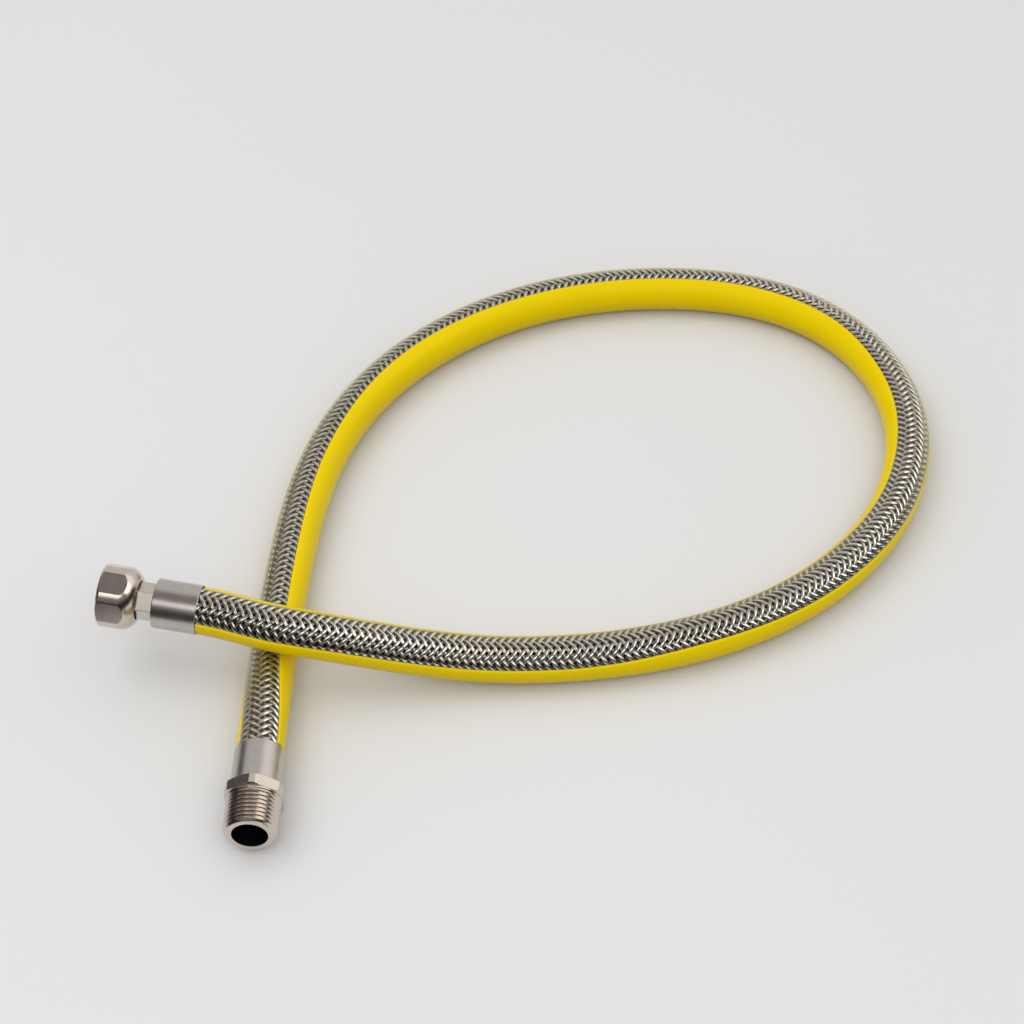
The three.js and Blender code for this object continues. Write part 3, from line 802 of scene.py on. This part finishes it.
def metal(name, dark, light, lines, rough, line_bump):
    """A metal whose fine lines follow the axes of the piece: lines gives the stretch of each axis."""
    material, tree, shader = new_finish(name, Metallic=1.0)
    own = surface_value(tree, "own_place", "Vector")
    stretched = vector_math("MULTIPLY", own, lines)
    marks = noise(tree, stretched, 1.0, detail=3, roughness=0.6)
    clouds = noise(tree, own, 0.35, detail=3)
    depth = surface_value(tree, "groove")
    # The deeper a thread's groove, the more its colour goes to one even, faintly pinkish tone.
    root_tint = (depth * 0.9).math("MINIMUM", 1.0)
    in_bore = surface_value(tree, "in_bore")
    tone = mixed_colours(tree, marks * 0.5 + clouds * 0.5, dark, light)
    root_tinted = mixed_colours(tree, root_tint, tone, THREAD_ROOT_TINT)
    link(mixed_colours(tree, in_bore, root_tinted, BORE_DARK), shader, "Base Color")
    link(marks * 0.12 + clouds * 0.08 + rough + in_bore * 0.4, shader, "Roughness")
    bumped(tree, shader, marks, line_bump, 0.5)
    return material


ferrule_finish = metal(
    "drawn_stainless", dark=srgb(176, 170, 165), light=srgb(214, 208, 202),
    lines=(9.0, 0.25, 9.0), rough=0.2, line_bump=0.012 * MM,
)
plated_finish = metal(
    "plated_steel", dark=srgb(198, 188, 178), light=srgb(228, 219, 208),
    lines=(0.5, 9.0, 0.5), rough=0.1, line_bump=0.008 * MM,
)

# %% [markdown]
# ## Ferrules
# A ferrule is a sleeve that is crimped over the bare braid. Its far end is folded in to an end wall
# that holds the fitting's neck. The two are alike.

# %% Make the two ferrules
FERRULE_FACE = 1.8
FERRULE_RIM = -16.0
FERRULE_RADIUS = 9.8
FERRULE_BORE = 9.25
FERRULE_ROUND = 0.4
NECK_RADIUS = 6.2
NECK_GAP = 0.1
SEAT_GAP = 0.3

ferrule_section = eased([
    (FERRULE_RIM, FERRULE_BORE, PLAIN), (SEAT_GAP, FERRULE_BORE, PLAIN),
    (SEAT_GAP, NECK_RADIUS + NECK_GAP, PLAIN), (FERRULE_FACE, NECK_RADIUS + NECK_GAP, PLAIN),
    (FERRULE_FACE, FERRULE_RADIUS, PLAIN), (FERRULE_RIM, FERRULE_RADIUS, PLAIN),
], FERRULE_ROUND)
ferrule_at_nipple = turned_piece("ferrule_at_nipple", ferrule_section, nipple_end, ferrule_finish)
ferrule_at_tail = turned_piece("ferrule_at_tail", ferrule_section, tail_end, ferrule_finish)

# %% [markdown]
# ## Nipple
# The nipple has a barbed stem inside the hose, a hexagon for the spanner and a taper thread. The
# thread is a groove whose depth depends on the place along the axis and on the angle: one turn
# moves it on by one pitch, which is a helix. It fades in at the hexagon, and the front edge is
# chamfered at 45 degrees.

# %% Cut the taper thread
THREAD_PITCH = 1.814
THREAD_DEPTH = 1.16
THREAD_START = 7.1
NIPPLE_FACE = 22.6
GAUGE_LENGTH = 8.2
THREAD_RADIUS = 10.48
THREAD_TAPER = 1 / 32
THREAD_FACE_RADIUS = 9.0


def thread_wave(turns):
    """From 0 on a crest to 1 at the bottom of a groove, with straight flanks and small roundings."""
    ramp = 1 - abs(2 * (turns % 1) - 1)
    return 0.6 * ramp + 0.4 * (1 - np.cos(np.pi * ramp)) / 2


def taper_groove(along, angle, radius):
    """The depth of the nipple's thread below its crests."""
    into = along - THREAD_START
    fade_in = smoothstep(np.clip(into / THREAD_PITCH, 0, 1))
    wave = thread_wave(into / THREAD_PITCH - angle / ALL_ROUND)
    crest = THREAD_RADIUS + (NIPPLE_FACE - along - GAUGE_LENGTH) * THREAD_TAPER
    below_crest = crest - radius
    depth = np.maximum(THREAD_DEPTH * fade_in * wave - below_crest, 0)
    return np.where((radius > THREAD_FACE_RADIUS - 0.4) & (into > 0), depth, 0)


# %% Turn the nipple
HEX_HALF_FLATS = 11.0
HEX_CORNER = 12.1
HEX_REAR = 2.1
CORNER_CUT = 0.9
STEM_BORE = 3.8
MOUTH_RADIUS = 6.9
MOUTH_FLOOR = 8.6
BARBS = 4
BARB_RADIUS = 4.99
BARB_PITCH = 4.0


def stem(neck_end):
    """The barbed stem's section, from the neck down to its tip and back up the bore."""
    barbs = []
    for tooth in range(BARBS):
        front = SEAT_GAP - tooth * BARB_PITCH
        barbs += [(front, BARB_RADIUS, PLAIN), (front - BARB_PITCH, BARB_RADIUS - 0.5, PLAIN)]
    return [(neck_end, NECK_RADIUS, PLAIN), (SEAT_GAP, NECK_RADIUS, PLAIN), *barbs,
            (SEAT_GAP - BARBS * BARB_PITCH, STEM_BORE, PLAIN)]


start_radius = THREAD_RADIUS + (NIPPLE_FACE - THREAD_START - GAUGE_LENGTH) * THREAD_TAPER
front_radius = THREAD_RADIUS - GAUGE_LENGTH * THREAD_TAPER
front_chamfer = front_radius - THREAD_FACE_RADIUS
nipple_section = eased([
    (MOUTH_FLOOR, STEM_BORE, PLAIN), (MOUTH_FLOOR, MOUTH_RADIUS, PLAIN), (NIPPLE_FACE, MOUTH_RADIUS, PLAIN),
    (NIPPLE_FACE, THREAD_FACE_RADIUS, PLAIN), (NIPPLE_FACE - front_chamfer, front_radius, PLAIN),
    (THREAD_START, start_radius, PLAIN),
    (THREAD_START, HEX_CORNER - CORNER_CUT, HEX_HALF_FLATS),
    (THREAD_START - CORNER_CUT / 2, HEX_CORNER, HEX_HALF_FLATS),
    (HEX_REAR + CORNER_CUT / 2, HEX_CORNER, HEX_HALF_FLATS),
    (HEX_REAR, HEX_CORNER - CORNER_CUT, HEX_HALF_FLATS),
    *stem(HEX_REAR),
])
nipple_section = finely(nipple_section, HEX_REAR, THREAD_START, 0.2)
nipple_section = finely(nipple_section, THREAD_START, NIPPLE_FACE, THREAD_PITCH / 16)
nipple = turned_piece(
    "nipple", nipple_section, nipple_end, plated_finish, groove=taper_groove, bore=MOUTH_RADIUS,
)

# %% [markdown]
# ## Tail, gasket and nut
# The tail's neck is a hexagon, so that a spanner can hold the hose still while the nut turns. A
# round collar on its end pulls the nut's shoulder forward, and a flat gasket lies on the collar.
# The nut is a hexagon bar turned down to a bell-shaped shoulder, with its corners turned round and
# a thread cut into its bore.

# %% Turn the tail and the gasket
TAIL_HALF_FLATS = 6.5
TAIL_CORNER = TAIL_HALF_FLATS / math.cos(math.pi / 6)
TAIL_ROLL = math.radians(-13)
COLLAR_REAR = 11.9
COLLAR_FACE = 14.4
COLLAR_RADIUS = 9.02
GASKET_GAP = 0.05
GASKET_FACE = 16.7
GASKET_BORE = 6.0

tail_section = finely(eased([
    (SEAT_GAP - BARBS * BARB_PITCH, STEM_BORE, PLAIN), (COLLAR_FACE, STEM_BORE, PLAIN),
    (COLLAR_FACE, COLLAR_RADIUS, PLAIN), (COLLAR_REAR, COLLAR_RADIUS, PLAIN),
    (COLLAR_REAR, TAIL_CORNER, TAIL_HALF_FLATS),
    (HEX_REAR, TAIL_CORNER, TAIL_HALF_FLATS), *stem(HEX_REAR)[:-1],
], 0.15), HEX_REAR, COLLAR_REAR, 0.5)
tail = turned_piece("tail", tail_section, tail_end, plated_finish, roll=TAIL_ROLL, bore=STEM_BORE)

gasket = turned_piece("gasket", eased([
    (COLLAR_FACE + GASKET_GAP, GASKET_BORE, PLAIN), (GASKET_FACE, GASKET_BORE, PLAIN),
    (GASKET_FACE, COLLAR_RADIUS, PLAIN), (COLLAR_FACE + GASKET_GAP, COLLAR_RADIUS, PLAIN),
]), tail_end, rubber_finish)

# %% Turn the union nut
NUT_REAR = 8.6
NUT_SEAT = 11.6
NUT_FACE = 23.4
NUT_HALF_FLATS = 12.0
NUT_CORNER = 12.8
NUT_ROLL = math.radians(-46)
NUT_LIP_BORE = TAIL_CORNER + 0.3
NUT_RIM = NUT_LIP_BORE + 1.1
NUT_BORE = 9.32
NUT_EDGE = 1.1
SHOULDER_END = 14.0
THREAD_INNER_END = 17.4


def nut_groove(along, angle, radius):
    """The depth of the nut's thread, cut outwards from the bore."""
    fade = np.clip((along - THREAD_INNER_END) / THREAD_PITCH, 0, 1)
    in_bore = (radius < NUT_BORE + 0.9) & (along > THREAD_INNER_END)
    return -np.where(in_bore, THREAD_DEPTH * fade * thread_wave(along / THREAD_PITCH - angle / ALL_ROUND), 0)


rim, corner = np.array([NUT_REAR, NUT_RIM]), np.array([SHOULDER_END, NUT_CORNER])
bulge = np.array([NUT_REAR + 1.8, NUT_CORNER - NUT_EDGE])
shoulder = [curve_place(rim, bulge, corner, share) for share in np.linspace(0, 1, 12)]
nut_section = np.concatenate([
    eased([(NUT_REAR, NUT_LIP_BORE, PLAIN), (NUT_SEAT, NUT_LIP_BORE, PLAIN), (NUT_SEAT, NUT_BORE, PLAIN),
           (NUT_FACE - 1, NUT_BORE, PLAIN), (NUT_FACE, NUT_BORE + 1, PLAIN),
           (NUT_FACE, NUT_CORNER - NUT_EDGE, NUT_HALF_FLATS),
           (NUT_FACE - NUT_EDGE, NUT_CORNER, NUT_HALF_FLATS),
           (SHOULDER_END, NUT_CORNER, NUT_HALF_FLATS), (NUT_REAR, NUT_RIM, NUT_HALF_FLATS)])[:-12],
    [(*place, NUT_HALF_FLATS) for place in shoulder[::-1]],
])
nut_section = finely(nut_section, NUT_REAR, NUT_FACE, 0.16)
nut = turned_piece("nut", nut_section, tail_end, plated_finish, roll=NUT_ROLL, groove=nut_groove)

# %% [markdown]
# ## Riding and standing in
# Each piece rides on the body that its CAD node belongs to and stands in for that node. Each row
# lists the piece, its body, its CAD node and the record's slot that its finish stands for.

# %% Tie the pieces to the frame
CARRIED = [
    (hose_jacket, "hose", "jacket_yellow", "yellow_jacket"),
    (hose_window, "hose", "jacket_clear_window", "clear_window"),
    (hose_liner, "hose", "hose_liner", "liner_rubber"),
    (ferrule_at_nipple, "hose", "nipple_ferrule", "ferrule_steel"),
    (nipple, "hose", "threaded_nipple", "fitting_metal"),
    (ferrule_at_tail, "hose", "tail_ferrule", "ferrule_steel"),
    (tail, "hose", "swivel_tail", "fitting_metal"),
    (gasket, "hose", "sealing_gasket", "gasket_rubber"),
    (nut, "nut", "union_nut", "nut_metal"),
    *[(piece, "hose", "hose_braid", "braid_wire") for piece in braid_pieces],
]
for piece, body, node, slot in CARRIED:
    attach(piece, body)
    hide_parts(node)

print(len(CARRIED), "pieces stand in for the CAD nodes")

# %% [markdown]
# ## Floor and light
# The hose lies on a plain pale table, under light so soft and even that shadows stay faint. A
# plastic or painted thing would be happy with that alone. Bright metal isn't: it shows whatever
# stands around it, and only looks like metal where pale and dark things stand side by side.
# So the table is dark in front on the left for glossy rays alone, and dimmer for diffuse rays,
# which keeps the hose's lower side from being lit too strongly from below. Where no table is,
# glossy rays see a room: a pale wall behind the table, a window and a skylight on the right,
# dark corners to the left and behind the camera, and a dim ceiling. All other rays see even light
# that is stronger from above.

# %% Lay the table


def ray_kind(tree, name):
    """1 for rays of one kind, such as Is Glossy Ray, and 0 for others."""
    return add(tree, "ShaderNodeLightPath", None, None, name)


def along_way(vector, way):
    """How far a vector reaches along a direction."""
    settings = {"operation": "DOT_PRODUCT"}
    return add(vector.tree, "ShaderNodeVectorMath", settings, {0: vector, 1: way}, "Value")


def ramp(tree, value, start, end):
    """Rises smoothly from 0 to 1 while the value goes from start to end."""
    return add(tree, "ShaderNodeMapRange", {"interpolation_type": "SMOOTHSTEP"}, {
        "Value": value, "From Min": start, "From Max": end,
    })


TABLE_SIDE = 12.0
TABLE_CORNERS = [(-1, -1), (1, -1), (1, 1), (-1, 1)]
table_mesh = bpy.data.meshes.new("table")
corners = [(x * TABLE_SIDE / 2, y * TABLE_SIDE / 2, 0) for x, y in TABLE_CORNERS]
table_mesh.from_pydata(corners, [], [(0, 1, 2, 3)])
table = bpy.data.objects.new("table", table_mesh)
collection.objects.link(table)

TABLE_PALE, TABLE_PALER = srgb(225, 224, 223), srgb(229, 228, 228)
TABLE_DIMMED, TABLE_DARK = srgb(178, 176, 173), srgb(40, 38, 37)
FRONT_LEFT, DARK_FROM = (-0.707, -0.707, 0), (0.2, 0.28)
table_finish, tree, shader = new_finish("pale_table", Specular_IOR_Level=0.2)
place = add(tree, "ShaderNodeTexCoord", None, None, "Object")
to_front_left = along_way(place, FRONT_LEFT)
unlit_part = ramp(tree, to_front_left, *DARK_FROM) * ray_kind(tree, "Is Glossy Ray")
pale = mixed_colours(tree, noise(tree, place, 3), TABLE_PALE, TABLE_PALER)
bounced = mixed_colours(tree, ray_kind(tree, "Is Diffuse Ray"), pale, TABLE_DIMMED)
link(mixed_colours(tree, unlit_part, bounced, TABLE_DARK), shader, "Base Color")
link(noise(tree, place, 40) * 0.1 + 0.55, shader, "Roughness")
table_mesh.materials.append(table_finish)

# %% Paint the room
CEILING, WALL, CORNER = srgb(124, 119, 116), srgb(216, 214, 212), srgb(30, 28, 27)
WINDOW, TOWARDS_WINDOW, WINDOW_EDGE = (1.08, 1.06, 1.03, 1), (0.668, 0.417, 0.616), (0.87, 0.93)
SKYLIGHT, TOWARDS_SKYLIGHT, SKYLIGHT_EDGE = (2.1, 2.07, 2.02, 1), (0.69, -0.02, 0.724), (0.92, 0.96)
FROM_ABOVE, FROM_AROUND = 0.56, 0.42

world = bpy.data.worlds.new("studio")
bpy.context.scene.world = world
world.use_nodes = True
tree = world.node_tree
direction = add(tree, "ShaderNodeTexCoord", None, None, "Generated")
to_right, to_back, to_top = (
    add(tree, "ShaderNodeSeparateXYZ", None, {0: direction}, axis) for axis in range(3)
)
high = ramp(tree, to_top, 0.3, 0.5)
left_corner = ramp(tree, to_right, -0.5, -0.7) * (1 - high)
wall = ramp(tree, to_back, 0.2, 0.5) * (1 - left_corner)
unlit = mixed_colours(tree, high, CORNER, CEILING)
room = mixed_colours(tree, wall, unlit, WALL)
in_window = ramp(tree, along_way(direction, TOWARDS_WINDOW), *WINDOW_EDGE)
room = mixed_colours(tree, in_window, room, WINDOW)
in_skylight = ramp(tree, along_way(direction, TOWARDS_SKYLIGHT), *SKYLIGHT_EDGE)
room = mixed_colours(tree, in_skylight, room, SKYLIGHT)
brightness = to_top.math("MAXIMUM", 0.0) * FROM_ABOVE + FROM_AROUND
even_light = scaled(combined(tree, 1.0, 1.0, 1.0), brightness)
lit = mixed_colours(tree, ray_kind(tree, "Is Glossy Ray"), even_light, room)
sky = mixed_colours(tree, ray_kind(tree, "Is Camera Ray"), lit, TABLE_PALE)
tree.links.new(sky.socket, tree.nodes["Background"].inputs["Color"])

# %% [markdown]
# Two soft boxes hang in that room. The one above the camera draws the bright line along the metal.
# The one high on the left gives the shadows their direction, and mirrors don't show it. A large box
# with modest light reflects as a pale patch, where a small strong lamp would leave a burnt white dot.

# %% Hang the soft boxes


def soft_box(name, azimuth, elevation, distance, width, height, radiance, mirrored=True):
    """A rectangular lamp that faces the middle of the table. Angles are in degrees, 90 is behind."""
    azimuth, elevation = math.radians(azimuth), math.radians(elevation)
    level = math.cos(elevation)
    way = Vector((level * math.cos(azimuth), level * math.sin(azimuth), math.sin(elevation)))
    lamp = bpy.data.lights.new(name, "AREA")
    lamp.shape = "RECTANGLE"
    lamp.size, lamp.size_y = width, height
    lamp.energy = radiance * math.pi * width * height
    holder = bpy.data.objects.new(name, lamp)
    holder.location = way * distance
    holder.rotation_euler = (-way).to_track_quat("-Z", "Y").to_euler()
    holder.visible_glossy = mirrored
    collection.objects.link(holder)
    print(f"{name}: {lamp.energy:.1f} W")


soft_box("box_over_camera", azimuth=-90, elevation=53.5, distance=1.8, width=1.5, height=0.55, radiance=1.7)
soft_box(
    "box_high_left", azimuth=175, elevation=58, distance=1.8,
    width=1.0, height=1.0, radiance=1.5, mirrored=False,
)
bpy.context.scene.view_settings.view_transform = "Standard"
